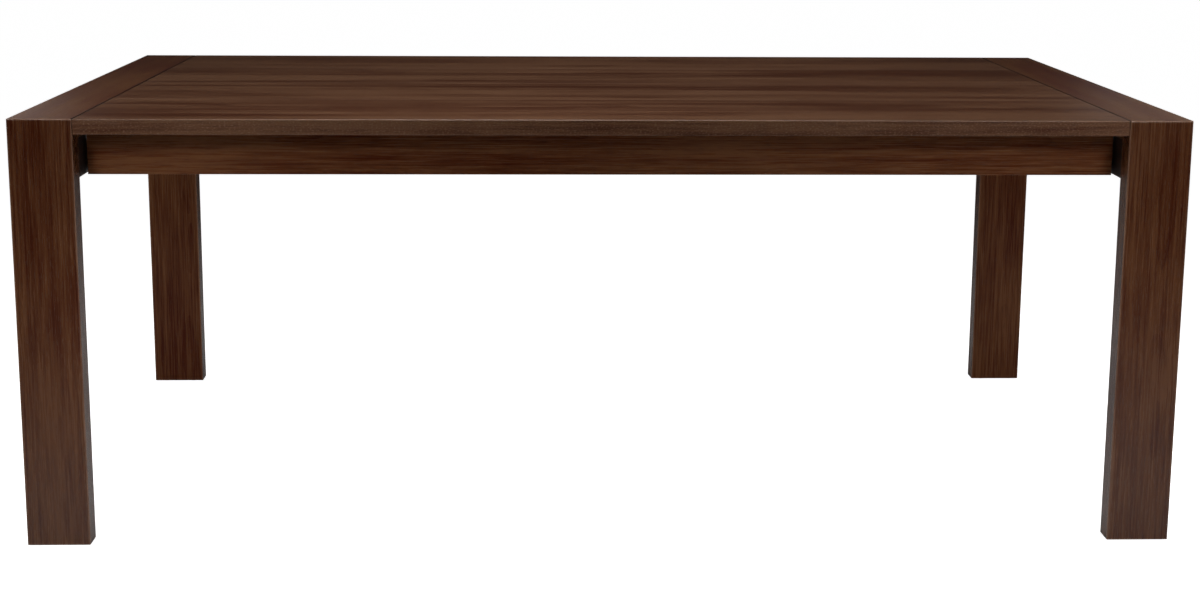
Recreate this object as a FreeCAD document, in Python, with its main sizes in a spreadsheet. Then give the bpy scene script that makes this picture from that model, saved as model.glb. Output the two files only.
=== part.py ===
# Extending dining table: a centre top of boards between two mitred end frames that draw out.
# Millimetres. The origin is on the floor under the middle of the closed table,
# +X runs along its length, the front is at -Y and +Z is up.
import FreeCAD, Part
import os
import re

SIZES = {
    # Closed table
    "table_length": 2032,
    "table_width": 1067,
    "table_height": 762,
    "draw_length": 457,
    # End frame planks
    "leg_width": 110,
    "plank_thick": 38,
    "arris_radius": 2,
    "edge_ease": 1,
    # Top boards
    "top_thick": 27,
    "seam_gap": 0.5,
    # Aprons
    "apron_setback": 70,
    "apron_thick": 22,
    "apron_height": 80,
    "apron_end_gap": 6,
    # Cross battens
    "batten_width": 60,
    "batten_thick": 18,
    "batten_gap": 8,
    # Glue blocks behind the aprons
    "block_length": 80,
    "block_width": 22,
    "block_height": 20,
    # Guide channels
    "channel_drop": 8,
    "channel_wall": 3,
    # Runners and their nylon caps
    "runner_width": 30,
    "runner_height": 42,
    "runner_clearance": 0.5,
    "runner_gap": 52,
    "cap_thick": 4,
    "cap_proud": 0.2,
    "cap_stem_radius": 5,
    "cap_stem_length": 15,
    # Stops of the draw
    "stop_pin_radius": 4,
    "stop_pin_inset": 20,
    "stop_pin_reach": 12,
    "stop_pin_depth": 20,
    "stop_clearance": 0.5,
    "strap_width": 10,
    "strap_thick": 5,
    # End rails
    "rail_thick": 22,
    # Runner bolts and barrel nuts
    "bolt_radius": 3,
    "bolt_spacing": 20,
    "bolt_head_radius": 6,
    "bolt_head_height": 4,
    "bolt_past_nut": 8,
    "nut_radius": 5,
    "nut_length": 24,
    "nut_inset": 40,
    # Table pins
    "pin_radius": 5,
    "pin_depth": 22,
    "pin_reach": 18,
    "pin_tip_radius": 3,
    "pin_tip_length": 3,
    "socket_clearance": 0.3,
    "socket_relief": 3,
    # Mitre dowels
    "dowel_radius": 4,
    "dowel_length": 32,
    "dowel_inset": 28,
    # Corner brackets
    "bracket_arm": 60,
    "bracket_width": 40,
    "bracket_thick": 3,
    # Foot glides
    "glide_radius": 12,
    "glide_proud": 2,
    "glide_inset": 25,
    "glide_stem_radius": 2.5,
    "glide_stem_length": 18,
    # Countersunk wood screws
    "screw_radius": 2,
    "screw_head_radius": 4,
    "screw_head_depth": 2.2,
    "long_screw_length": 34,
    "short_screw_length": 22,
    "hole_clearance": 0.1,
    # Lock plates and pivot pins
    "plate_length": 60,
    "plate_width": 44,
    "plate_thick": 3,
    "plate_inset": 8,
    "plate_screw_inset": 8,
    "boss_radius": 8,
    "boss_height": 23.7,
    "pivot_radius": 4,
    "pivot_fit": 0.05,
    "pivot_head_radius": 8,
    "pivot_head_height": 3,
    # Lock levers
    "lever_thick": 4,
    "lever_play": 0.3,
    "lever_hub_radius": 10,
    "lever_arm_width": 8,
    "lever_handle_width": 14,
    "lever_handle_length": 85,
    "lever_knob_radius": 9,
    "lever_knob_drop": 12,
    "hook_width": 6,
    "hook_clearance": 1.5,
    "hook_start_angle": 12,
    "hook_sweep_angle": 60,
    "handle_angle": 225,
    # Lock keepers
    "keeper_reach": 16,
    "keeper_width": 40,
    "keeper_thick": 3,
    "keeper_rise": 4,
    "keeper_drop": 24,
    "keeper_margin": 3,
    "keeper_pin_radius": 3,
    "keeper_pin_past": 3,
    "keeper_screw_spacing": 24,
    "keeper_screw_inset": 8,
}

# Top boards from front to rear, and their middle lines in widths of one board
BOARD_NAMES = ("front", "front_middle", "rear_middle", "rear")
BOARD_SHARES = (-1.5, -0.5, 0.5, 1.5)
# Places along the length, as parts of the way from the middle to the last batten
BATTEN_SHARES = (-1, -0.5, 0, 0.5, 1)
BLOCK_SHARES = (-0.75, -0.25, 0.25, 0.75)
# Places of screws along a glue block, a channel and a bracket's arm
BLOCK_SCREW_SHARES = (-0.3, 0.3)
CHANNEL_SCREW_SHARES = (-0.85, -0.5, -0.15, 0.15, 0.5, 0.85)
BRACKET_SCREW_SHARES = (0.4, 0.8)

# Formulas that several pieces share, in the sheet's words
FRAME_OUTER = "(table_length / 2)"
FRAME_INNER = "(table_length / 2 - leg_width)"
TOP_END = f"({FRAME_INNER} - seam_gap)"
FRONT = "(table_width / 2)"
LEG_INNER = "(table_width / 2 - plank_thick)"
BOARD_WIDTH = "(table_width / 4)"
BOARD_UNDER = "(table_height - plank_thick)"
TOP_UNDER = "(table_height - top_thick)"
BATTEN_UNDER = f"({TOP_UNDER} - batten_thick)"
BATTEN_REACH = f"({TOP_END} - plate_inset - plate_length - batten_gap - batten_width / 2)"
APRON_END = f"({FRAME_INNER} - apron_end_gap)"
APRON_OUTER = "(table_width / 2 - apron_setback)"
APRON_INNER = f"({APRON_OUTER} - apron_thick)"
APRON_UNDER = f"({TOP_UNDER} - apron_height)"
CHANNEL_TOP = f"({BATTEN_UNDER} - channel_drop)"
RUNNER_TOP = f"({CHANNEL_TOP} - channel_wall - runner_clearance)"
RUNNER_UNDER = f"({RUNNER_TOP} - runner_height)"
RUNNER_MIDDLE = f"({RUNNER_TOP} - runner_height / 2)"
CHANNEL_UNDER = f"({RUNNER_UNDER} - runner_clearance - channel_wall)"
RUNNER_OUTER = f"({APRON_INNER} - channel_wall - runner_clearance)"
RUNNER_INNER = f"({RUNNER_OUTER} - runner_width)"
CHANNEL_MOUTH = f"({RUNNER_INNER} - runner_clearance)"
RUNNER_TIP = "(runner_gap / 2 + cap_thick)"
STOP_PIN_X = f"({RUNNER_TIP} + stop_pin_inset)"
PIN_HEIGHT = "(table_height - top_thick / 2)"
PLATE_UNDER = f"({TOP_UNDER} - plate_thick)"
LEVER_TOP = f"({PLATE_UNDER} - boss_height - lever_play)"
LEVER_UNDER = f"({LEVER_TOP} - lever_thick)"
KEEPER_PIN_X = f"({FRAME_INNER} - keeper_reach)"
PIVOT_X = f"({TOP_END} - plate_inset - plate_length / 2)"
HOOK_RADIUS = f"({KEEPER_PIN_X} - {PIVOT_X} + keeper_pin_radius + hook_clearance)"
BRACKET_X = f"(({FRAME_OUTER} + {FRAME_INNER} + rail_thick) / 2)"

LEFT, RIGHT = -1, 1
SIDES = {"left": LEFT, "right": RIGHT}
ROWS = {"front": -1, "rear": 1}
ALONG_X = FreeCAD.Vector(1, 0, 0)
ALONG_Y = FreeCAD.Vector(0, 1, 0)
UPWARD = FreeCAD.Vector(0, 0, 1)
MITRE_TURN = 45
HALF_TURN = 180

doc = FreeCAD.newDocument("extending_table")
sheet = doc.addObject("Spreadsheet::Sheet", "sizes")
for row, (alias, value) in enumerate(SIZES.items(), start=1):
    sheet.set(f"A{row}", alias)
    sheet.set(f"B{row}", str(value))
    sheet.setAlias(f"B{row}", alias)
doc.recompute()

pieces = {}


# Sheet formulas and placing

def bind(piece, name, formula):
    """Ties a property to a formula whose words are the sheet's aliases."""
    piece.setExpression(name, re.sub(r"[a-z][a-z_]+\b(?!\()", lambda word: f"sizes.{word.group()}", formula))


def place(piece, at, turn=FreeCAD.Rotation()):
    """Turns a piece and ties its origin to three formulas."""
    piece.Placement = FreeCAD.Placement(FreeCAD.Vector(), turn)
    for axis, formula in zip("xyz", at):
        bind(piece, f"Placement.Base.{axis}", formula)


def signed(sign, formula):
    """The formula, on the side of the middle that the sign says."""
    return formula if sign > 0 else f"-{formula}"


def span(sign, low, high):
    """A stretch from low to high, mirrored about the middle for a negative sign."""
    return (low, high) if sign > 0 else (f"-({high})", f"-({low})")


def across(width):
    """A stretch of the given width, centred on the middle."""
    return (f"-({width}) / 2", f"({width}) / 2")


def about(middle, width):
    """A stretch of the given width about a middle."""
    return (f"{middle} - ({width}) / 2", f"{middle} + ({width}) / 2")


def facing(direction):
    """The turn that takes a piece made along +Z into a direction."""
    return FreeCAD.Rotation(UPWARD, direction)


def keep(name, piece):
    """Names a finished sub-part, which gets a file of its own."""
    piece.Label = name
    pieces[name] = piece
    return piece


# Basic pieces

def fill(piece, x, y, z):
    """Gives a box its three stretches."""
    place(piece, (x[0], y[0], z[0]))
    for size, (low, high) in zip(("Length", "Width", "Height"), (x, y, z)):
        bind(piece, size, f"{high} - ({low})")
    return piece


def block(name, x, y, z):
    """A square-edged block."""
    return fill(doc.addObject("Part::Box", name), x, y, z)


def rod(name, at, direction, radius, length):
    """A round bar that starts at a point and runs in a direction."""
    piece = doc.addObject("Part::Cylinder", name)
    bind(piece, "Radius", radius)
    bind(piece, "Height", length)
    place(piece, at, facing(direction))
    return piece


def cone(name, at, direction, base_radius, tip_radius, length):
    """A tapered bar that starts at a point and runs in a direction."""
    piece = doc.addObject("Part::Cone", name)
    bind(piece, "Radius1", base_radius)
    bind(piece, "Radius2", tip_radius)
    bind(piece, "Height", length)
    place(piece, at, facing(direction))
    return piece


def joined(name, parts):
    """Several shapes made into one solid."""
    piece = doc.addObject("Part::MultiFuse", name)
    piece.Shapes = parts
    piece.Refine = True
    return piece


def group(name, parts):
    """Separate solids that share one name."""
    piece = doc.addObject("Part::Compound", name)
    piece.Links = parts
    return piece


def cut(name, base, tool):
    """The base with the tool's room taken out."""
    piece = doc.addObject("Part::Cut", name)
    piece.Base = base
    piece.Tool = tool
    return piece


def drilled(name, blank, tools):
    """A finished sub-part: a blank with all its holes."""
    return keep(name, cut(name, blank, group(f"{name}_holes", tools)))


def runs_along(edge, direction):
    """Whether an edge is straight and parallel to a direction."""
    straight = edge.Curve.TypeId == "Part::GeomLine"
    return straight and edge.tangentAt(edge.FirstParameter).cross(direction).Length < 1e-6


def lies_on(edge, box, *faces):
    """Whether an edge lies on each named face of a box, such as ZMax."""
    tolerance = box.DiagonalLength * 1e-9
    return all(
        abs(getattr(edge.BoundBox, f"{face[0]}{end}") - getattr(box, face)) < tolerance
        for face in faces
        for end in ("Min", "Max")
    )


def eased(body, radius, chosen):
    """Rounds the edges of a body's last feature that the test chooses."""
    doc.recompute()
    base = body.Tip
    names = [f"Edge{number}" for number, edge in enumerate(base.Shape.Edges, start=1) if chosen(edge)]
    fillet = body.newObject("PartDesign::Fillet", f"{body.Name}_{radius}")
    fillet.Base = (base, names)
    bind(fillet, "Radius", radius)
    body.Tip = fillet


def timber(name, x, y, z):
    """A body that starts as one sawn length of wood."""
    body = doc.addObject("PartDesign::Body", f"{name}_blank")
    fill(body.newObject("PartDesign::AdditiveBox", f"{name}_sawn"), x, y, z)
    doc.recompute()
    return body


def mitred(body, turn, x, y):
    """Saws a mitre off a body: the cut starts at the frame's inner corner and leaves at the arris."""
    saw = body.newObject("PartDesign::SubtractiveBox", f"{body.Name}_saw")
    place(saw, (x[0], y, BOARD_UNDER), FreeCAD.Rotation(ALONG_X, turn))
    bind(saw, "Length", f"{x[1]} - ({x[0]})")
    bind(saw, "Width", "plank_thick * 2")
    bind(saw, "Height", "plank_thick * 2")
    body.Tip = saw


def screw(name, at, direction, length, spare="0"):
    """A countersunk screw, its head flush at a point and facing a direction; spare makes it a hole's tool."""
    inward = direction * -1
    shank = rod(f"{name}_shank", at, inward, f"screw_radius + {spare}", f"{length} + {spare}")
    head = cone(f"{name}_head", at, inward, f"screw_head_radius + {spare}", f"screw_radius + {spare}",
                "screw_head_depth")
    return joined(name, [shank, head])


def screws(name, places, direction_of, length):
    """Screws at a list of places, and the tools of their holes."""
    made = [screw(f"{name}_{number}", at, direction_of(at), length) for number, at in enumerate(places)]
    tools = [
        screw(f"{name}_{number}_hole", at, direction_of(at), length, "hole_clearance")
        for number, at in enumerate(places)
    ]
    return made, tools


# Places of the fasteners

board_middles = {name: f"({BOARD_WIDTH} * ({share}))" for name, share in zip(BOARD_NAMES, BOARD_SHARES)}
batten_middles = [f"({BATTEN_REACH} * ({share}))" for share in BATTEN_SHARES]
block_middles = [f"({BATTEN_REACH} * ({share}))" for share in BLOCK_SHARES]
block_line = f"({APRON_INNER} - block_width / 2)"

batten_screws, batten_tools = screws(
    "batten_screw",
    [(x, y, BATTEN_UNDER) for x in batten_middles for y in board_middles.values()],
    lambda at: UPWARD * -1,
    "long_screw_length",
)
block_screws, block_tools = screws(
    "block_screw",
    [
        (f"{x} + block_length * ({share})", signed(sign, block_line), f"{TOP_UNDER} - block_height")
        for sign in ROWS.values()
        for x in block_middles
        for share in BLOCK_SCREW_SHARES
    ],
    lambda at: UPWARD * -1,
    "long_screw_length",
)
web_face = f"({APRON_INNER} - channel_wall)"
channel_screws, channel_tools = screws(
    "channel_screw",
    [
        (f"{APRON_END} * ({share})", signed(sign, web_face), RUNNER_MIDDLE)
        for sign in ROWS.values()
        for share in CHANNEL_SCREW_SHARES
    ],
    lambda at: ALONG_Y * (1 if at[1].startswith("-") else -1),
    "short_screw_length",
)
plate_screw_x = "(plate_length / 2 - plate_screw_inset)"
plate_screw_y = "(plate_width / 2 - plate_screw_inset)"
plate_screws, plate_tools = screws(
    "plate_screw",
    [
        (f"{signed(side, PIVOT_X)} + {signed(end, plate_screw_x)}", signed(row, plate_screw_y), PLATE_UNDER)
        for side in SIDES.values()
        for end in (LEFT, RIGHT)
        for row in ROWS.values()
    ],
    lambda at: UPWARD * -1,
    "short_screw_length",
)

# Top boards: four long boards, glued edge to edge, with a socket for a table pin in each end

sockets = [
    rod(
        f"{side}_{name}_socket",
        (signed(sign, TOP_END), y, PIN_HEIGHT),
        ALONG_X * -sign,
        "pin_radius + socket_clearance",
        "pin_reach - seam_gap + socket_relief",
    )
    for side, sign in SIDES.items()
    for name, y in board_middles.items()
]
for name, y in board_middles.items():
    board = timber(f"{name}_top_board", across(f"2 * {TOP_END}"), about(y, BOARD_WIDTH), (TOP_UNDER, "table_height"))
    box = board.Shape.BoundBox
    outside = {"front": "YMin", "rear": "YMax"}.get(name)
    if outside:
        eased(board, "arris_radius", lambda edge: lies_on(edge, box, outside, "ZMax"))
        eased(board, "edge_ease", lambda edge: lies_on(edge, box, outside, "ZMin"))
    eased(board, "edge_ease", lambda edge: runs_along(edge, ALONG_Y) and lies_on(edge, box, "ZMax"))
    drilled(f"{name}_top_board", board, sockets + batten_tools + block_tools + plate_tools)

# Aprons, set back under the front and rear edges. On the inner face of each lies a guide channel
# for the runners, made of a back strip and two flange strips

for name, sign in ROWS.items():
    apron = timber(
        f"{name}_apron",
        across(f"2 * {APRON_END}"),
        span(sign, APRON_INNER, APRON_OUTER),
        (APRON_UNDER, TOP_UNDER),
    )
    box = apron.Shape.BoundBox
    eased(apron, "edge_ease", lambda edge: runs_along(edge, ALONG_X) and lies_on(edge, box, "ZMin"))
    drilled(f"{name}_apron", apron, channel_tools)

    back_strip = block(
        f"{name}_channel_back",
        across(f"2 * {APRON_END}"),
        span(sign, web_face, APRON_INNER),
        (CHANNEL_UNDER, CHANNEL_TOP),
    )
    flanges = [
        block(f"{name}_channel_{flange}", across(f"2 * {APRON_END}"), span(sign, CHANNEL_MOUTH, web_face), height)
        for flange, height in {
            "upper": (f"{CHANNEL_TOP} - channel_wall", CHANNEL_TOP),
            "lower": (CHANNEL_UNDER, f"{CHANNEL_UNDER} + channel_wall"),
        }.items()
    ]
    channel = group(f"{name}_channel_strips", [back_strip, *flanges])
    drilled(f"{name}_guide_channel", channel, channel_tools)

    blocks = [
        block(
            f"{name}_apron_block_{number}",
            about(x, "block_length"),
            span(sign, f"{APRON_INNER} - block_width", APRON_INNER),
            (f"{TOP_UNDER} - block_height", TOP_UNDER),
        )
        for number, x in enumerate(block_middles)
    ]
    drilled(f"{name}_apron_blocks", group(f"{name}_apron_block_set", blocks), block_tools)

# Cross battens, which keep the boards flat and tie the aprons together

for number, x in enumerate(batten_middles, start=1):
    batten = timber(
        f"cross_batten_{number}",
        about(x, "batten_width"),
        across(f"2 * {APRON_INNER}"),
        (BATTEN_UNDER, TOP_UNDER),
    )
    box = batten.Shape.BoundBox
    eased(batten, "edge_ease", lambda edge: runs_along(edge, ALONG_Y) and lies_on(edge, box, "ZMin"))
    drilled(f"cross_batten_{number}", batten, batten_tools)

keep("batten_screws", group("batten_screws", batten_screws))
keep("apron_block_screws", group("apron_block_screws", block_screws))
keep("channel_screws", group("channel_screws", channel_screws))
keep("lock_plate_screws", group("lock_plate_screws", plate_screws))

# Stop straps, welded across the mouths of the guide channels where the stop pins end their travel

strap_start = f"({STOP_PIN_X} + draw_length + stop_pin_radius + stop_clearance)"
straps = [
    block(
        f"{side}_{row}_stop_strap",
        span(sign, strap_start, f"{strap_start} + strap_width"),
        span(row_sign, f"{CHANNEL_MOUTH} - strap_thick", CHANNEL_MOUTH),
        (CHANNEL_UNDER, CHANNEL_TOP),
    )
    for side, sign in SIDES.items()
    for row, row_sign in ROWS.items()
]
keep("runner_stop_straps", group("runner_stop_straps", straps))


# Locks: a plate with a boss under the top, a pivot pin and a lever whose hook holds the keeper's pin

def lock(side, sign):
    """One lock plate, its pivot pin and its lever, turned to face its end of the table."""
    pivot_x = signed(sign, PIVOT_X)
    plate = block(
        f"{side}_plate_flat", about(pivot_x, "plate_length"), across("plate_width"), (PLATE_UNDER, TOP_UNDER)
    )
    boss = rod(f"{side}_plate_boss", (pivot_x, "0", PLATE_UNDER), UPWARD * -1, "boss_radius", "boss_height")
    pivot_room = rod(
        f"{side}_pivot_room",
        (pivot_x, "0", TOP_UNDER),
        UPWARD * -1,
        "pivot_radius + pivot_fit",
        f"{TOP_UNDER} - {LEVER_UNDER}",
    )
    drilled(f"{side}_lock_plate", joined(f"{side}_plate_and_boss", [plate, boss]), [pivot_room] + plate_tools)

    head_top = f"({LEVER_UNDER} - lever_play)"
    pin = rod(f"{side}_pivot_shank", (pivot_x, "0", TOP_UNDER), UPWARD * -1, "pivot_radius",
              f"{TOP_UNDER} - {head_top}")
    head = rod(f"{side}_pivot_head", (pivot_x, "0", head_top), UPWARD * -1, "pivot_head_radius",
               "pivot_head_height")
    keep(f"{side}_lock_pivot", joined(f"{side}_lock_pivot", [pin, head]))

    hub = rod(f"{side}_lever_hub", ("0", "0", "0"), UPWARD, "lever_hub_radius", "lever_thick")
    hook_disc = rod(f"{side}_hook_disc", ("0", "0", "0"), UPWARD, f"{HOOK_RADIUS} + hook_width", "lever_thick")
    bind(hook_disc, "Angle", "hook_sweep_angle")
    hook_room = rod(f"{side}_hook_room", ("0", "0", "0"), UPWARD, HOOK_RADIUS, "lever_thick")
    hook = cut(f"{side}_lever_hook", hook_disc, hook_room)
    bind(hook, "Placement.Rotation.Angle", "hook_start_angle")
    arm = block(f"{side}_lever_arm", ("0", f"{HOOK_RADIUS} + hook_width / 2"), across("lever_arm_width"),
                ("0", "lever_thick"))
    arm_turned = group(f"{side}_lever_arm_turned", [arm])
    bind(arm_turned, "Placement.Rotation.Angle", "hook_start_angle + hook_sweep_angle")
    handle = block(f"{side}_lever_bar", ("0", "lever_handle_length"), across("lever_handle_width"),
                   ("0", "lever_thick"))
    knob = rod(f"{side}_lever_knob", ("lever_handle_length", "0", "lever_thick"), UPWARD * -1,
               "lever_knob_radius", "lever_thick + lever_knob_drop")
    handle_turned = joined(f"{side}_lever_handle", [handle, knob])
    bind(handle_turned, "Placement.Rotation.Angle", "handle_angle")
    eye = rod(f"{side}_lever_eye", ("0", "0", "0"), UPWARD, "pivot_radius + pivot_fit", "lever_thick")
    flat = joined(f"{side}_lever_flat", [hub, hook, arm_turned, handle_turned])
    lever = drilled(f"{side}_lock_lever", flat, [eye])
    facing_end = FreeCAD.Rotation(UPWARD, 0 if sign > 0 else HALF_TURN)
    place(lever, (pivot_x, "0", LEVER_UNDER), facing_end)


for side, sign in SIDES.items():
    lock(side, sign)


# End frames: an end board and two legs, mitred into an inverted U, that carry the runners

def end_frame(side, sign):
    """One end frame with everything that draws out with it."""
    plank_x = span(sign, FRAME_INNER, FRAME_OUTER)
    frame_inner = signed(sign, FRAME_INNER)
    outward = ALONG_X * sign

    # Table pins stand out of the end board and line it up with the top boards
    table_pins = []
    pin_tools = []
    for name, y in board_middles.items():
        start = (signed(sign, f"({FRAME_INNER} + pin_depth)"), y, PIN_HEIGHT)
        tip = (signed(sign, f"({FRAME_INNER} - pin_reach + pin_tip_length)"), y, PIN_HEIGHT)
        shank = rod(f"{side}_{name}_pin_shank", start, outward * -1, "pin_radius",
                    "pin_depth + pin_reach - pin_tip_length")
        point = cone(f"{side}_{name}_pin_tip", tip, outward * -1, "pin_radius", "pin_tip_radius", "pin_tip_length")
        table_pins.append(joined(f"{side}_{name}_pin", [shank, point]))
        deep = (signed(sign, f"({FRAME_INNER} + pin_depth + hole_clearance)"), y, PIN_HEIGHT)
        pin_tools.append(
            rod(f"{side}_{name}_pin_hole", deep, outward * -1, "pin_radius + hole_clearance",
                "pin_depth + pin_reach")
        )
    keep(f"{side}_table_pins", group(f"{side}_table_pins", table_pins))

    # Dowels cross each mitre square to it
    dowels = []
    dowel_tools = []
    for row, row_sign in ROWS.items():
        slope = FreeCAD.Vector(0, row_sign, -1)
        for number, x in enumerate((f"({FRAME_INNER} + dowel_inset)", f"({FRAME_OUTER} - dowel_inset)")):
            for made, spare in ((dowels, "0"), (dowel_tools, "hole_clearance")):
                half = f"((dowel_length / 2 + {spare}) / sqrt(2))"
                start = (
                    signed(sign, x),
                    signed(row_sign, f"({LEG_INNER} + plank_thick / 2 - {half})"),
                    f"{BOARD_UNDER} + plank_thick / 2 + {half}",
                )
                made.append(
                    rod(f"{side}_{row}_dowel_{number}_{len(made)}", start, slope, f"dowel_radius + {spare}",
                        f"dowel_length + 2 * {spare}")
                )
    keep(f"{side}_mitre_dowels", group(f"{side}_mitre_dowels", dowels))

    # Corner brackets inside the mitres, with two screws in each arm
    bracket_x = signed(sign, BRACKET_X)
    brackets = []
    frame_screws = []
    frame_tools = []
    for row, row_sign in ROWS.items():
        flat_arm = block(
            f"{side}_{row}_bracket_flat",
            about(bracket_x, "bracket_width"),
            span(row_sign, f"{LEG_INNER} - bracket_arm", LEG_INNER),
            (f"{BOARD_UNDER} - bracket_thick", BOARD_UNDER),
        )
        upright_arm = block(
            f"{side}_{row}_bracket_upright",
            about(bracket_x, "bracket_width"),
            span(row_sign, f"{LEG_INNER} - bracket_thick", LEG_INNER),
            (f"{BOARD_UNDER} - bracket_arm", BOARD_UNDER),
        )
        brackets.append(joined(f"{side}_{row}_bracket", [flat_arm, upright_arm]))
        into_board, board_tools = screws(
            f"{side}_{row}_bracket_top_screw",
            [
                (
                    bracket_x,
                    signed(row_sign, f"({LEG_INNER} - bracket_arm * {share})"),
                    f"{BOARD_UNDER} - bracket_thick",
                )
                for share in BRACKET_SCREW_SHARES
            ],
            lambda at: UPWARD * -1,
            "short_screw_length",
        )
        into_leg, leg_tools = screws(
            f"{side}_{row}_bracket_leg_screw",
            [
                (
                    bracket_x,
                    signed(row_sign, f"({LEG_INNER} - bracket_thick)"),
                    f"{BOARD_UNDER} - bracket_arm * {share}",
                )
                for share in BRACKET_SCREW_SHARES
            ],
            lambda at: ALONG_Y * -row_sign,
            "short_screw_length",
        )
        frame_screws += into_board + into_leg
        frame_tools += board_tools + leg_tools
    drilled(f"{side}_corner_brackets", group(f"{side}_bracket_pair", brackets), frame_tools)

    # Lock keeper on the end rail: a leaf, a ledge and the pin that the lever's hook holds
    ledge_under = f"({LEVER_TOP} + keeper_rise)"
    leaf_under = f"({LEVER_UNDER} - keeper_drop)"
    leaf = block(
        f"{side}_keeper_leaf",
        span(sign, f"{FRAME_INNER} - keeper_thick", FRAME_INNER),
        across("keeper_width"),
        (leaf_under, f"{ledge_under} + keeper_thick"),
    )
    ledge = block(
        f"{side}_keeper_ledge",
        span(sign, f"{KEEPER_PIN_X} - keeper_pin_radius - keeper_margin", FRAME_INNER),
        across("2 * (keeper_pin_radius + keeper_margin)"),
        (ledge_under, f"{ledge_under} + keeper_thick"),
    )
    keeper_pin = rod(
        f"{side}_keeper_pin",
        (signed(sign, KEEPER_PIN_X), "0", f"{ledge_under} + keeper_thick"),
        UPWARD * -1,
        "keeper_pin_radius",
        "keeper_thick + keeper_rise + lever_thick + keeper_pin_past",
    )
    into_rail, rail_tools = screws(
        f"{side}_keeper_screw",
        [
            (
                signed(sign, f"({FRAME_INNER} - keeper_thick)"),
                signed(row_sign, "(keeper_screw_spacing / 2)"),
                f"{leaf_under} + keeper_screw_inset",
            )
            for row_sign in ROWS.values()
        ],
        lambda at: outward * -1,
        "short_screw_length",
    )
    drilled(f"{side}_lock_keeper", joined(f"{side}_keeper_bent", [leaf, ledge, keeper_pin]), rail_tools)
    keep(f"{side}_frame_screws", group(f"{side}_frame_screws", frame_screws + into_rail))

    # Bolts through the end rail draw each runner up by two barrel nuts
    bolts = []
    bolt_tools = []
    nut_blanks = []
    nut_tools = []
    runner_line = f"(({RUNNER_INNER} + {RUNNER_OUTER}) / 2)"
    bolt_length = "rail_thick + nut_inset + bolt_past_nut"
    rail_face = signed(sign, f"({FRAME_INNER} + rail_thick)")
    for row, row_sign in ROWS.items():
        for level, level_sign in (("lower", -1), ("upper", 1)):
            name = f"{side}_{row}_{level}"
            z = f"({RUNNER_MIDDLE} + {level_sign} * bolt_spacing / 2)"
            start = (rail_face, signed(row_sign, runner_line), z)
            shank = rod(f"{name}_bolt_shank", start, outward * -1, "bolt_radius", bolt_length)
            head = doc.addObject("Part::Prism", f"{name}_bolt_head")
            bind(head, "Circumradius", "bolt_head_radius")
            bind(head, "Height", "bolt_head_height")
            place(head, start, facing(outward))
            bolts.append(joined(f"{name}_bolt", [shank, head]))
            bolt_tools.append(
                rod(f"{name}_bolt_hole", start, outward * -1, "bolt_radius + hole_clearance",
                    f"{bolt_length} + hole_clearance")
            )
            nut_start = (
                signed(sign, f"({FRAME_INNER} - nut_inset)"),
                signed(row_sign, RUNNER_INNER),
                z,
            )
            nut_blanks.append(rod(f"{name}_nut_bar", nut_start, ALONG_Y * row_sign, "nut_radius", "nut_length"))
            nut_tools.append(
                rod(f"{name}_nut_hole", nut_start, ALONG_Y * row_sign, "nut_radius + hole_clearance",
                    "nut_length + hole_clearance")
            )
    keep(f"{side}_runner_bolts", group(f"{side}_runner_bolts", bolts))
    drilled(f"{side}_barrel_nuts", group(f"{side}_nut_bars", nut_blanks), bolt_tools)

    # End board
    board = timber(f"{side}_end_board", plank_x, across("table_width"), (BOARD_UNDER, "table_height"))
    box = board.Shape.BoundBox
    eased(board, "arris_radius", lambda edge: runs_along(edge, ALONG_X) and lies_on(edge, box, "ZMax"))
    mitred(board, -MITRE_TURN, plank_x, LEG_INNER)
    mitred(board, HALF_TURN - MITRE_TURN, plank_x, f"-{LEG_INNER}")
    eased(board, "edge_ease", lambda edge: runs_along(edge, ALONG_Y))
    drilled(f"{side}_end_board", board, pin_tools + dowel_tools + frame_tools)

    # Legs, each on two nylon glides
    glides = []
    for row, row_sign in ROWS.items():
        y = signed(row_sign, f"({LEG_INNER} + plank_thick / 2)")
        glide_tools = []
        for number, x in enumerate((f"({FRAME_INNER} + glide_inset)", f"({FRAME_OUTER} - glide_inset)")):
            name = f"{side}_{row}_glide_{number}"
            foot = (signed(sign, x), y, "0")
            disc = rod(f"{name}_disc", foot, UPWARD, "glide_radius", "glide_proud")
            stem = rod(f"{name}_stem", foot, UPWARD, "glide_stem_radius", "glide_proud + glide_stem_length")
            glides.append(joined(name, [disc, stem]))
            glide_tools.append(
                rod(f"{name}_hole", foot, UPWARD, "glide_stem_radius + hole_clearance",
                    "glide_proud + glide_stem_length + hole_clearance")
            )
        leg = timber(f"{side}_{row}_leg", plank_x, span(row_sign, LEG_INNER, FRONT), ("glide_proud", "table_height"))
        box = leg.Shape.BoundBox
        outer = "YMax" if row_sign > 0 else "YMin"
        eased(leg, "arris_radius", lambda edge: lies_on(edge, box, outer, "ZMax"))
        mitred(leg, MITRE_TURN, plank_x, signed(row_sign, LEG_INNER))
        eased(leg, "edge_ease", lambda edge: runs_along(edge, UPWARD) or lies_on(edge, box, "ZMin"))
        drilled(f"{side}_{row}_leg", leg, glide_tools + dowel_tools + frame_tools)
    keep(f"{side}_foot_glides", group(f"{side}_foot_glides", glides))

    # End rail under the end board, between the legs
    rail = timber(
        f"{side}_end_rail",
        span(sign, FRAME_INNER, f"{FRAME_INNER} + rail_thick"),
        across(f"2 * {LEG_INNER}"),
        (APRON_UNDER, BOARD_UNDER),
    )
    box = rail.Shape.BoundBox
    eased(rail, "edge_ease", lambda edge: runs_along(edge, ALONG_Y) and lies_on(edge, box, "ZMin"))
    drilled(f"{side}_end_rail", rail, bolt_tools + rail_tools)

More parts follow.
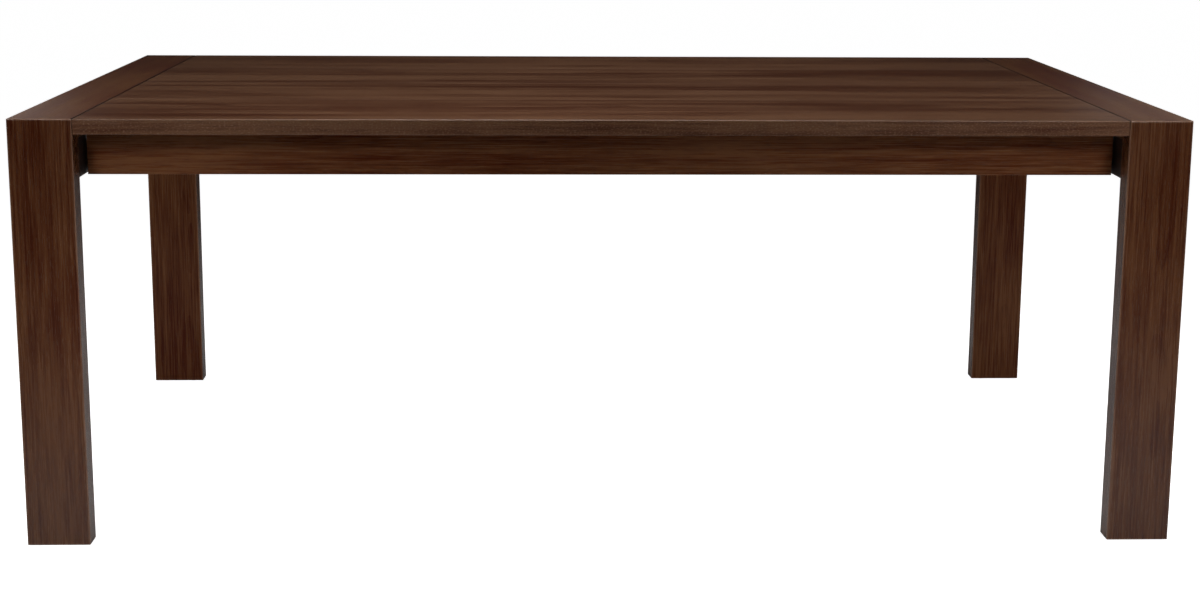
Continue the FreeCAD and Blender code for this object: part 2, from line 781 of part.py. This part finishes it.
    # Runners, each with a nylon cap on its tip and a stop pin through its inner face
    stop_pins = []
    caps = []
    for row, row_sign in ROWS.items():
        name = f"{side}_{row}_runner"
        pin_start = (signed(sign, STOP_PIN_X), signed(row_sign, f"({RUNNER_INNER} - stop_pin_reach)"), RUNNER_MIDDLE)
        pin_length = "stop_pin_reach + stop_pin_depth"
        stop_pins.append(rod(f"{name}_stop_pin", pin_start, ALONG_Y * row_sign, "stop_pin_radius", pin_length))
        pin_tool = rod(f"{name}_stop_hole", pin_start, ALONG_Y * row_sign, "stop_pin_radius + hole_clearance",
                       f"{pin_length} + hole_clearance")
        tip = (signed(sign, RUNNER_TIP), signed(row_sign, runner_line), RUNNER_MIDDLE)
        face = block(
            f"{name}_cap_face",
            span(sign, f"{RUNNER_TIP} - cap_thick", RUNNER_TIP),
            span(row_sign, RUNNER_INNER, f"{RUNNER_OUTER} + cap_proud"),
            (f"{RUNNER_UNDER} - cap_proud", f"{RUNNER_TOP} + cap_proud"),
        )
        stem = rod(f"{name}_cap_stem", tip, outward, "cap_stem_radius", "cap_stem_length")
        caps.append(joined(f"{name}_cap", [face, stem]))
        stem_tool = rod(f"{name}_cap_hole", tip, outward, "cap_stem_radius + hole_clearance",
                        "cap_stem_length + hole_clearance")
        runner = timber(
            name,
            span(sign, RUNNER_TIP, FRAME_INNER),
            span(row_sign, RUNNER_INNER, RUNNER_OUTER),
            (RUNNER_UNDER, RUNNER_TOP),
        )
        eased(runner, "edge_ease", lambda edge: runs_along(edge, ALONG_X))
        drilled(name, runner, bolt_tools + nut_tools + [pin_tool, stem_tool])
    keep(f"{side}_stop_pins", group(f"{side}_stop_pins", stop_pins))
    keep(f"{side}_runner_caps", group(f"{side}_runner_caps", caps))


for side, sign in SIDES.items():
    end_frame(side, sign)


# Testing and writing

doc.recompute()
failed = [item.Name for item in doc.Objects if {"Invalid", "Error"} & set(item.State)]
if failed:
    raise RuntimeError(f"objects that failed: {failed}")
for name, piece in pieces.items():
    if piece.Shape.isNull() or not piece.Shape.isValid() or not piece.Shape.Solids:
        raise RuntimeError(f"{name} has no valid solid")

os.makedirs("parts", exist_ok=True)
for name, piece in pieces.items():
    piece.Shape.exportStep(os.path.join("parts", f"{name}.step"))
print(f"{len(pieces)} sub-parts, {sum(len(piece.Shape.Solids) for piece in pieces.values())} solids")
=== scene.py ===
import math

import bpy
from mathutils import Euler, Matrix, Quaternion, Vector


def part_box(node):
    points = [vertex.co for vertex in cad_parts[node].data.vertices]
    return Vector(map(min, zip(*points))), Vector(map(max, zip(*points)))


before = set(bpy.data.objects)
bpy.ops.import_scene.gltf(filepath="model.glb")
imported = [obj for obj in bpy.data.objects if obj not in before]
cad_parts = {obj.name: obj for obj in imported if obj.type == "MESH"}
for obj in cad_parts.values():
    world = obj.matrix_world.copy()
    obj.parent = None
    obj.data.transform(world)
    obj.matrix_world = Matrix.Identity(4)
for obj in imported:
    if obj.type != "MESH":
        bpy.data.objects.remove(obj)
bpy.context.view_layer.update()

# Top boards: four long planks of walnut, glued edge to edge, stained dark and lacquered to a satin.
# The joints show as faint paler lines of painted highlight, the long front and rear arrises are paler,
# partly rubbed by handling and partly painted highlight, and the cut ends meet the end boards in a
# thin seam of painted shade.


class Feed:
    """A socket in a finish. Sums on it add Math nodes, and node() adds any other."""

    def __init__(self, tree, socket=None):
        self.tree = tree
        self.socket = socket

    def node(self, kind, settings=(), sockets=(), output=0):
        made = self.tree.nodes.new(kind)
        for key, value in dict(settings).items():
            setattr(made, key, value)
        for key, value in dict(sockets).items():
            if isinstance(value, Feed):
                self.tree.links.new(value.socket, made.inputs[key])
            else:
                made.inputs[key].default_value = value
        return Feed(self.tree, made.outputs[output] if made.outputs else None)

    def maths(self, operation, *terms):
        return self.node("ShaderNodeMath", {"operation": operation}, enumerate(terms))

    def __add__(self, other):
        return self.maths("ADD", self, other)

    __radd__ = __add__

    def __sub__(self, other):
        return self.maths("SUBTRACT", self, other)

    def __rsub__(self, other):
        return self.maths("SUBTRACT", other, self)

    def __mul__(self, other):
        return self.maths("MULTIPLY", self, other)

    __rmul__ = __mul__

    def __truediv__(self, other):
        return self.maths("DIVIDE", self, other)

    def __pow__(self, other):
        return self.maths("POWER", self, other)

    def __abs__(self):
        return self.maths("ABSOLUTE", self)

    def most(self, other):
        return self.maths("MAXIMUM", self, other)

    def held(self):
        return self.node("ShaderNodeClamp", {}, {0: self})

    def parted(self):
        return [self.node("ShaderNodeSeparateXYZ", {}, {0: self}, axis) for axis in range(3)]

    def tint(self, plain, tinted):
        colours = [c if isinstance(c, Feed) else (*c, 1) for c in (plain, tinted)]
        return self.node("ShaderNodeMix", {"data_type": "RGBA"}, {0: self, 6: colours[0], 7: colours[1]}, 2)

    def cloud(self, counts, detail=2, roughness=0.5):
        """Noise on these coordinates, with its counts per metre along each axis."""
        at = self.node("ShaderNodeVectorMath", {"operation": "MULTIPLY"}, {0: self, 1: counts})
        sockets = {0: at, "Scale": 1, "Detail": detail, "Roughness": roughness}
        return self.node("ShaderNodeTexNoise", {}, sockets)

    def raised(self, strength, depth):
        """The normal of a surface with this relief, whose depth is in metres."""
        return self.node("ShaderNodeBump", {}, {"Strength": strength, "Distance": depth, "Height": self})


def open_finish(name):
    """A new material with an empty tree, and the feed of a piece's own coordinates."""
    material = bpy.data.materials.new(name)
    material.use_nodes = True
    material.node_tree.nodes.clear()
    return material, Feed(material.node_tree).node("ShaderNodeTexCoord", output="Object")


def close_finish(material, feed, sockets):
    """Ends a finish in its shader and the material's output."""
    shader = feed.node("ShaderNodeBsdfPrincipled", {}, sockets)
    feed.node("ShaderNodeOutputMaterial", {}, {"Surface": shader})
    return material


def dress(material, *names):
    """Gives a finish to pieces of the frame."""
    for name in names:
        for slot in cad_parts[name].material_slots:
            slot.material = material


def arris(parts, box, faces, width):
    """How near a point lies to the arris between two faces of a box, such as -Y+Z."""
    gaps = []
    for side, axis in zip(faces[::2], ("XYZ".index(letter) for letter in faces[1::2])):
        gaps.append(parts[axis] - box[0][axis] if side == "-" else box[1][axis] - parts[axis])
    return (1 - gaps[0].most(gaps[1]) / width).held()


# The colour of rubbed wood, also painted highlight on arrises and joints, and of painted shade in a
# seam, the steps from one log to the next along and across the grain, and the tones of plain wood
# between dark and light and of pores as a share of dark.
RUBBED_AND_HIGHLIGHT, SEAM_SHADE = (0.20, 0.115, 0.075), (0.003, 0.0008, 0.0002)
LOG_ALONG, LOG_ACROSS = 3.7, 0.31
MIDDLE_TONE, PORE_TONE = 0.62, 0.45


def timber(name, box, grain, log, dark, light, edges=(), pith=(0.0, -0.14), ring=0.006, figure=0.3,
           streak=(4.5, 40, 3.6), line=0.0, blotch=1.1, fibre=1.9, pore=0.5, fleck=0.0,
           polish=0.4, gloss=0.38):
    """Planed wood: growth rings round a pith, streaks, thin lines, fibres, pores, and pale flecks on a
    plank's edges. grain names the axes along, across and through the plank, and log picks its place in
    the tree. streak is how many streaks lie in a metre along and across, and how strong they are.
    edges are lines along arrises: the faces that meet, the width, the colour and the strength.
    They paint rubbed wear, painted highlight, and painted shade in seams."""
    material, place = open_finish(name)
    parts = place.parted()
    order = ["XYZ".index(axis) for axis in grain]
    middle = [(low + high) / 2 for low, high in zip(*box)]
    along, across, through = (parts[i] - middle[i] for i in order)
    trunk = place.node("ShaderNodeCombineXYZ", {}, {
        0: along + LOG_ALONG * log, 1: across + LOG_ACROSS * log, 2: through,
    })
    wander = trunk.cloud((1.3, 2.5, 2.5)) - 0.5
    sway = trunk.cloud((5, 14, 14)) - 0.5
    aside = across - pith[0] + wander * 0.07
    under = through - pith[1] + wander * 0.03
    turns = (aside * aside + under * under) ** 0.5 / ring + sway * 1.6
    late_wood = turns.maths("FRACT", turns) ** 2.5
    count_along, count_across, strength = streak
    bands = trunk.cloud((count_along / 3, count_across, count_across), 3, 0.6)
    threads = trunk.cloud((count_along * 1.5, count_across * 1.7, count_across * 1.7), 5, 0.72)
    streaks = bands * 0.5 + threads * 0.5 - 0.5
    lines = trunk.cloud((0.8, 38, 38), 3, 0.6) - 0.5
    fibres = trunk.cloud((9, 330, 330), 3, 0.65) - 0.5
    blotches = trunk.cloud((3.2, 7, 7)) - 0.5
    pores = ((trunk.cloud((50, 1250, 1250), 1) - 0.6) * 8).held() * pore
    normal = place.node("ShaderNodeTexCoord", output="Normal").parted()
    cut_end = ((abs(normal[order[0]]) - 0.6) * 4).held()
    flecks = ((trunk.cloud((240, 480, 480), 1) - 0.52) * 5).held() * abs(normal[order[1]]) * fleck
    shade = MIDDLE_TONE - late_wood * figure + streaks * strength + lines * line
    shade = shade + fibres * fibre + blotches * blotch
    colour = flecks.tint(shade.held().tint(dark, light), RUBBED_AND_HIGHLIGHT)
    colour = pores.most(cut_end * 0.7).tint(colour, [c * PORE_TONE for c in dark])
    # Lines along arrises: rubbed wear, painted highlight and, in seams, painted shade.
    for faces, width, tone, edge_strength in edges:
        edge_wear_and_painted_light = arris(parts, box, faces, width) * edge_strength * (0.6 + fibres * 1.2 + blotches)
        colour = edge_wear_and_painted_light.held().tint(colour, tone)
    grain_height = fibres * 0.6 - pores - late_wood * 0.15
    rough = polish + fibres * 0.12 + blotches * 0.1 + pores * 0.15
    return close_finish(material, place, {
        "Base Color": colour,
        "Roughness": rough.held(),
        "Normal": grain_height.raised(0.25, 0.0005),
        "Specular IOR Level": gloss,
    })


BOARD_LOGS = {
    "front_top_board": 350,
    "front_middle_top_board": 301,
    "rear_middle_top_board": 352,
    "rear_top_board": 403,
}
TOP_DARK, TOP_LIGHT = (0.0430, 0.0096, 0.0008), (0.1057, 0.0465, 0.0210)
# Paler long arrises are rubbed wear and painted highlight, paler joints are painted highlight, and the dark
# seams at the board ends are painted shade.
LONG_ARRIS = {"front_top_board": "-Y+Z", "rear_top_board": "+Y+Z"}
JOINT_HIGHLIGHT_STRENGTH = {"front_middle_top_board": 0.25, "rear_middle_top_board": 0.3, "rear_top_board": 0.5}
SEAM_SHADE_WIDTH, ARRIS_WIDTH, JOINT_HIGHLIGHT_WIDTH = 0.003, 0.0035, 0.02
SEAM_SHADE_STRENGTH, LONG_ARRIS_WEAR_AND_HIGHLIGHT = 2.2, 0.6
for board, log in BOARD_LOGS.items():
    edges = [(end, SEAM_SHADE_WIDTH, SEAM_SHADE, SEAM_SHADE_STRENGTH) for end in ("-X+Z", "+X+Z")]
    if board in LONG_ARRIS:
        edges.append((LONG_ARRIS[board], ARRIS_WIDTH, RUBBED_AND_HIGHLIGHT, LONG_ARRIS_WEAR_AND_HIGHLIGHT))
    if board in JOINT_HIGHLIGHT_STRENGTH:
        edges.append(("-Y+Z", JOINT_HIGHLIGHT_WIDTH, RUBBED_AND_HIGHLIGHT, JOINT_HIGHLIGHT_STRENGTH[board]))
    dress(timber(
        f"{board}_walnut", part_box(board), "XYZ", log, TOP_DARK, TOP_LIGHT, edges, pith=(0.05, -0.16),
        streak=(1.9, 15, 5.0), line=3.2, blotch=0.7, fleck=0.5, polish=0.35, gloss=0.3,
    ), board)

# Aprons: two thin walnut rails, set well back under the long edges of the top and glued to it.
# They carry the same stain under a thinner coat of lacquer, and stop short of the legs.

APRON_DARK, APRON_LIGHT = (0.056, 0.0086, 0.0004), (0.138, 0.0535, 0.0200)
for log, apron in enumerate(("front_apron", "rear_apron"), start=207):
    dress(timber(
        f"{apron}_walnut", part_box(apron), "XZY", log, APRON_DARK, APRON_LIGHT, pith=(0.02, -0.07),
        ring=0.005, figure=0.2, streak=(4.5, 40, 3.0), polish=0.27, gloss=0.2,
    ), apron)

# Glue blocks and cross battens: walnut offcuts rubbed into the corner of top and apron, and five
# flat bars across the underside that keep the boards level. Both were stained but not polished.

UNDER_DARK, UNDER_LIGHT = (0.022, 0.009, 0.005), (0.070, 0.031, 0.018)
for log, blocks in enumerate(("front_apron_blocks", "rear_apron_blocks"), start=11):
    dress(timber(
        f"{blocks}_walnut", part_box(blocks), "XZY", log, UNDER_DARK, UNDER_LIGHT, polish=0.62,
    ), blocks)
for number in range(1, 6):
    batten = f"cross_batten_{number}"
    dress(timber(
        f"{batten}_walnut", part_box(batten), "YXZ", 13 + number, UNDER_DARK, UNDER_LIGHT,
        [(faces, ARRIS_WIDTH, RUBBED_AND_HIGHLIGHT, 1) for faces in ("-X-Z", "+X-Z")], pith=(0.01, -0.05), polish=0.6,
    ), batten)

# Guide channels: a back strip and two flange strips of aluminium bar, welded into a trough and
# anodised in their natural colour. One is screwed along the inner face of each apron, and the
# runners have polished faint lines into it.

channel_finish, place = open_finish("drawn_aluminium")
drawn_lines = place.cloud((2.5, 900, 900), 3, 0.6)
scuffs = ((place.cloud((6, 120, 120), 3) - 0.55) * 4).held()
dress(close_finish(channel_finish, place, {
    "Base Color": (drawn_lines * 0.8 + scuffs * 0.2).held().tint((0.30, 0.30, 0.31), (0.66, 0.66, 0.68)),
    "Metallic": 1.0,
    "Roughness": 0.30 + drawn_lines * 0.22 - scuffs * 0.08,
    "Normal": drawn_lines.raised(0.15, 0.0003),
}), "front_guide_channel", "rear_guide_channel")

# Screws, bolts, barrel nuts, table pins and stop pins: small turned steel, zinc plated. The plating
# is a little cloudy and bluish.

SIDES = ("left", "right")
zinc_finish, place = open_finish("zinc_plate")
cloudiness = place.cloud((300, 300, 300), 3)
turning = place.cloud((1800, 1800, 1800), 2)
dress(close_finish(zinc_finish, place, {
    "Base Color": cloudiness.tint((0.36, 0.37, 0.40), (0.72, 0.72, 0.70)),
    "Metallic": 1.0,
    "Roughness": 0.28 + cloudiness * 0.25,
    "Normal": turning.raised(0.1, 0.0002),
}), "apron_block_screws", "batten_screws", "channel_screws", "lock_plate_screws",
    *(f"{side}_{piece}" for side in SIDES
      for piece in ("lock_pivot", "frame_screws", "runner_bolts", "barrel_nuts", "table_pins",
                    "stop_pins")))

# Lock plates, levers, keepers, stop straps and corner brackets: bent and cut steel plate under a
# black powder coat, with the coat's fine orange peel and grey where metal has rubbed on metal.

coat_finish, place = open_finish("black_powder_coat")
peel = place.cloud((700, 700, 700), 2)
rubbed_bare = ((place.cloud((90, 90, 90), 4, 0.65) - 0.6) * 6).held()
dust = place.cloud((25, 25, 25), 3)
dress(close_finish(coat_finish, place, {
    "Base Color": (rubbed_bare * 0.35 + dust * 0.3).held().tint((0.012, 0.012, 0.013), (0.10, 0.10, 0.105)),
    "Roughness": 0.46 + peel * 0.2 - rubbed_bare * 0.12,
    "Normal": peel.raised(0.3, 0.0003),
}), "runner_stop_straps",
    *(f"{side}_{piece}" for side in SIDES
      for piece in ("lock_plate", "lock_lever", "lock_keeper", "corner_brackets")))

# End frames: an end board and two legs of the same walnut plank, mitred and dowelled into an
# upturned U at each end of the table. The grain runs along each plank and turns the corner at the
# mitre, the outer arrises and feet are paler, partly rubbed and partly painted highlight, the inner
# end of each board has a seam of painted shade, and the rear legs carry a thinner, duller coat.


def box_round(*names):
    """The lowest and the highest corner of several pieces of the frame."""
    boxes = [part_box(name) for name in names]
    lowest = [min(low[axis] for low, high in boxes) for axis in range(3)]
    highest = [max(high[axis] for low, high in boxes) for axis in range(3)]
    return lowest, highest


END_DARK, END_LIGHT = (0.048, 0.0050, 0.0003), (0.095, 0.0368, 0.0110)
LEG_DARK, LEG_LIGHT = (0.036, 0.0058, 0.0004), (0.084, 0.0306, 0.0105)
# The left front leg's log is chosen so that its blotches darken the leg's upper part, painted shade.
LEG_LOGS = {"left_front_leg": 375, "left_rear_leg": 26, "right_front_leg": 27, "right_rear_leg": 78}
# Paler leg arrises are partly rubbed wear and partly painted highlight.
LEG_ARRISES = ("-X-Y", "-X+Y", "+X-Y", "+X+Y", "-Y+Z", "+Y+Z", "-Y-Z", "+Y-Z")
LEG_ARRIS_WEAR_AND_HIGHLIGHT = 0.9
LEG_GLOSS = {"front": 0.34, "rear": 0.12}
for log, (side, out, inward) in enumerate((("left", "-", "+"), ("right", "+", "-")), start=221):
    frame_box = box_round(*(f"{side}_{piece}" for piece in ("end_board", "front_leg", "rear_leg")))
    # The end board's outer arrises are partly rubbed and partly painted highlight; its inner end has a seam
    # of painted shade.
    edges = [(faces, ARRIS_WIDTH, RUBBED_AND_HIGHLIGHT, 1) for faces in (f"{out}X+Z", "-Y+Z", "+Y+Z")]
    edges.append((f"{inward}X+Z", SEAM_SHADE_WIDTH, SEAM_SHADE, SEAM_SHADE_STRENGTH))
    dress(timber(
        f"{side}_end_board_walnut", frame_box, "YXZ", log, END_DARK, END_LIGHT, edges, pith=(0.03, -0.3),
        ring=0.008, figure=0.2, streak=(3, 34, 3.0), polish=0.35, gloss=0.3,
    ), f"{side}_end_board")
    for leg, gloss in LEG_GLOSS.items():
        name = f"{side}_{leg}_leg"
        edges = [(faces, ARRIS_WIDTH, RUBBED_AND_HIGHLIGHT, LEG_ARRIS_WEAR_AND_HIGHLIGHT) for faces in LEG_ARRISES]
        dress(timber(
            f"{name}_walnut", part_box(name), "ZXY", LEG_LOGS[name], LEG_DARK, LEG_LIGHT, edges,
            pith=(0.015, -0.09), ring=0.0045, figure=0.3, streak=(7, 85, 2.8), blotch=1.5, fibre=2.4,
            polish=0.26, gloss=gloss,
        ), name)

# End rails: a flat walnut rail inside each end frame, glued between the legs under the end board,
# which takes the bolts of the runners. Its nearly black colour is painted shade, so the gap beside the
# apron is dark.

RAIL_SHADE_DARK, RAIL_SHADE_LIGHT = (0.008, 0.0025, 0.0010), (0.026, 0.0090, 0.0040)
for log, side in enumerate(SIDES, start=31):
    rail = f"{side}_end_rail"
    dress(timber(
        f"{rail}_walnut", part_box(rail), "YZX", log, RAIL_SHADE_DARK, RAIL_SHADE_LIGHT,
        [(faces, ARRIS_WIDTH, RUBBED_AND_HIGHLIGHT, 1) for faces in ("-X-Z", "+X-Z")], pith=(0.01, -0.06), polish=0.5,
    ), rail)

# Runners and mitre dowels: straight planed beech, waxed. The runners are bolted to the end rails
# and slide in the guide channels. The wood is pale, with the short brown flecks of beech.

BEECH_DARK, BEECH_LIGHT = (0.30, 0.165, 0.080), (0.56, 0.365, 0.205)
for number, side in enumerate(SIDES):
    for log, runner in enumerate((f"{side}_front_runner", f"{side}_rear_runner"), start=41 + 2 * number):
        dress(timber(
            f"{runner}_beech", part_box(runner), "XZY", log, BEECH_DARK, BEECH_LIGHT, ring=0.004,
            figure=0.35, streak=(2.4, 34, 1.2), blotch=0.4, fibre=0.6, pore=0.35, polish=0.5,
        ), runner)
    dowels = f"{side}_mitre_dowels"
    dress(timber(
        f"{dowels}_beech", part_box(dowels), "ZXY", 47 + number, BEECH_DARK, BEECH_LIGHT, ring=0.004,
        polish=0.6,
    ), dowels)

# Runner caps and foot glides: moulded black nylon. The caps close the ends of the runners, and the
# glides are pressed into the feet, where the floor has scratched them.

nylon_finish, place = open_finish("moulded_nylon")
mottle = place.cloud((160, 160, 160), 3)
scratches = ((place.cloud((60, 900, 900), 2) - 0.62) * 8).held()
NYLON_DARK, NYLON_LIGHT = (0.018, 0.017, 0.016), (0.095, 0.092, 0.088)
dress(close_finish(nylon_finish, place, {
    "Base Color": (mottle * 0.5 + scratches * 0.6).held().tint(NYLON_DARK, NYLON_LIGHT),
    "Roughness": 0.42 + mottle * 0.2 + scratches * 0.15,
    "Normal": (mottle - scratches).raised(0.2, 0.0002),
}), *(f"{side}_{piece}" for side in SIDES for piece in ("runner_caps", "foot_glides")))

# Studio: a plain white sheet on the floor, clear to a view from below, and soft boxes above, in
# front, behind and at both ends. Grids narrow most of them, so that the gaps stay dark.

FLOOR_REACH = 60
FLOOR_CORNERS = [(x * FLOOR_REACH, y * FLOOR_REACH, 0) for x, y in ((-1, -1), (1, -1), (1, 1), (-1, 1))]
floor_mesh = bpy.data.meshes.new("studio_floor")
floor_mesh.from_pydata(FLOOR_CORNERS, [], [(0, 1, 2, 3)])
floor = bpy.data.objects.new("studio_floor", floor_mesh)
bpy.context.collection.objects.link(floor)
floor_finish, place = open_finish("white_sheet")
sheet = place.node("ShaderNodeBsdfPrincipled", {}, {
    "Base Color": (0.75, 0.75, 0.75, 1), "Roughness": 0.9, "Specular IOR Level": 0.0,
    "Emission Color": place.node("ShaderNodeLightPath", output="Is Camera Ray").tint((0, 0, 0), (1, 1, 1)),
    "Emission Strength": 0.98,
})
from_below = place.node("ShaderNodeNewGeometry", output="Backfacing")
clear = place.node("ShaderNodeBsdfTransparent")
place.node("ShaderNodeOutputMaterial", {}, {
    "Surface": place.node("ShaderNodeMixShader", {}, {0: from_below, 1: sheet, 2: clear}),
})
floor_mesh.materials.append(floor_finish)

world = bpy.data.worlds.new("studio_air")
world.use_nodes = True
world.node_tree.nodes.clear()
air = Feed(world.node_tree)
seen = air.node("ShaderNodeLightPath", output="Is Camera Ray")
glow = seen.tint((0.022, 0.022, 0.023), (1, 1, 1))
air.node("ShaderNodeOutputWorld", {}, {"Surface": air.node("ShaderNodeBackground", {}, {"Color": glow})})
bpy.context.scene.world = world
bpy.context.scene.view_settings.view_transform = "Standard"


def soft_box(name, at, towards, wide, high, power, spread=180):
    """A studio lamp of a width and height at a place, turned to a point, with a spread in degrees."""
    lamp = bpy.data.lights.new(name, "AREA")
    lamp.shape, lamp.size, lamp.size_y = "RECTANGLE", wide, high
    lamp.energy, lamp.spread = power, math.radians(spread)
    stand = bpy.data.objects.new(name, lamp)
    stand.location, stand.visible_camera = at, False
    gaze = [t - a for t, a in zip(towards, at)]
    length = math.hypot(*gaze)
    stand.rotation_euler = (math.acos(-gaze[2] / length), 0, math.atan2(gaze[1], gaze[0]) - math.pi / 2)
    bpy.context.collection.objects.link(stand)


soft_box("overhead_box", (0, -0.05, 3.0), (0, 0, 0.7), 1.7, 1.6, 12.2, 80)
soft_box("front_floor_box", (0.35, -1.35, 2.5), (0.4, -1.3, 0), 2.2, 0.45, 5.2, 46)
soft_box("rear_floor_box", (0, 1.9, 2.5), (0, 1.95, 0), 2.8, 0.9, 1.4, 70)
soft_box("low_floor_box", (0, 0.05, 0.62), (0, 0.1, 0), 1.5, 0.4, 0.5, 110)
soft_box("left_front_box", (-1.5, -2.9, 1.8), (-0.78, -0.5, 0.3), 0.8, 0.8, 1.9, 34)
soft_box("right_front_box", (1.5, -2.9, 1.8), (0.86, -0.5, 0.32), 0.8, 0.8, 2.2, 38)
soft_box("left_rear_leg_box", (-0.35, -3.0, 0.75), (-0.95, 0.5, 0.2), 0.3, 0.3, 0.14, 14)
soft_box("right_rear_leg_box", (0.35, -3.0, 0.75), (0.95, 0.5, 0.2), 0.3, 0.3, 0.07, 14)
soft_box("left_sheen_box", (-2.3, 3.0, 1.55), (-1, -0.4, 0.76), 0.7, 0.4, 1.05)
soft_box("right_sheen_box", (2.3, 3.0, 1.55), (1, -0.4, 0.76), 0.7, 0.4, 0.48)
for side, hand in (("left", -1), ("right", 1)):
    soft_box(f"{side}_end_box", (1.7 * hand, -0.75, 1.45), (hand, -0.6, 0.76), 0.6, 0.6, 11)
    soft_box(f"{side}_low_end_box", (2.1 * hand, 0.25, 0.45), (hand, 0.05, 0.42), 0.9, 0.5, 1.4, 90)
    soft_box(f"{side}_rear_box", (1.8 * hand, 2.5, 0.5), (0.7 * hand, 0.53, 0.45), 0.9, 0.4, 3.2, 80)

# Camera: the photograph's viewpoint, a little left of the middle and above the top, with a small
# lens shift that keeps the legs near upright.

IMAGE_WIDE = 1200
FOCAL_PIXELS = 1762
CENTRE_ABOVE = 120
CAMERA_PLACE = (-0.0975, -3.517, 1.1755)
PAN, TILT, ROLL = (math.radians(angle) for angle in (1.70, 9.84, 0.34))
SENSOR_WIDE = 36
FAR_SIGHT = 200
lens = bpy.data.cameras.new("camera")
lens.sensor_width = SENSOR_WIDE
lens.lens = FOCAL_PIXELS / IMAGE_WIDE * SENSOR_WIDE
lens.shift_y = -CENTRE_ABOVE / IMAGE_WIDE
lens.clip_end = FAR_SIGHT
camera = bpy.data.objects.new("camera", lens)
camera.location = CAMERA_PLACE
camera.rotation_mode = "QUATERNION"
level = Euler((math.pi / 2 - TILT, 0, -PAN)).to_quaternion()
camera.rotation_quaternion = level @ Quaternion((0, 0, 1), ROLL)
bpy.context.collection.objects.link(camera)
bpy.context.scene.camera = camera
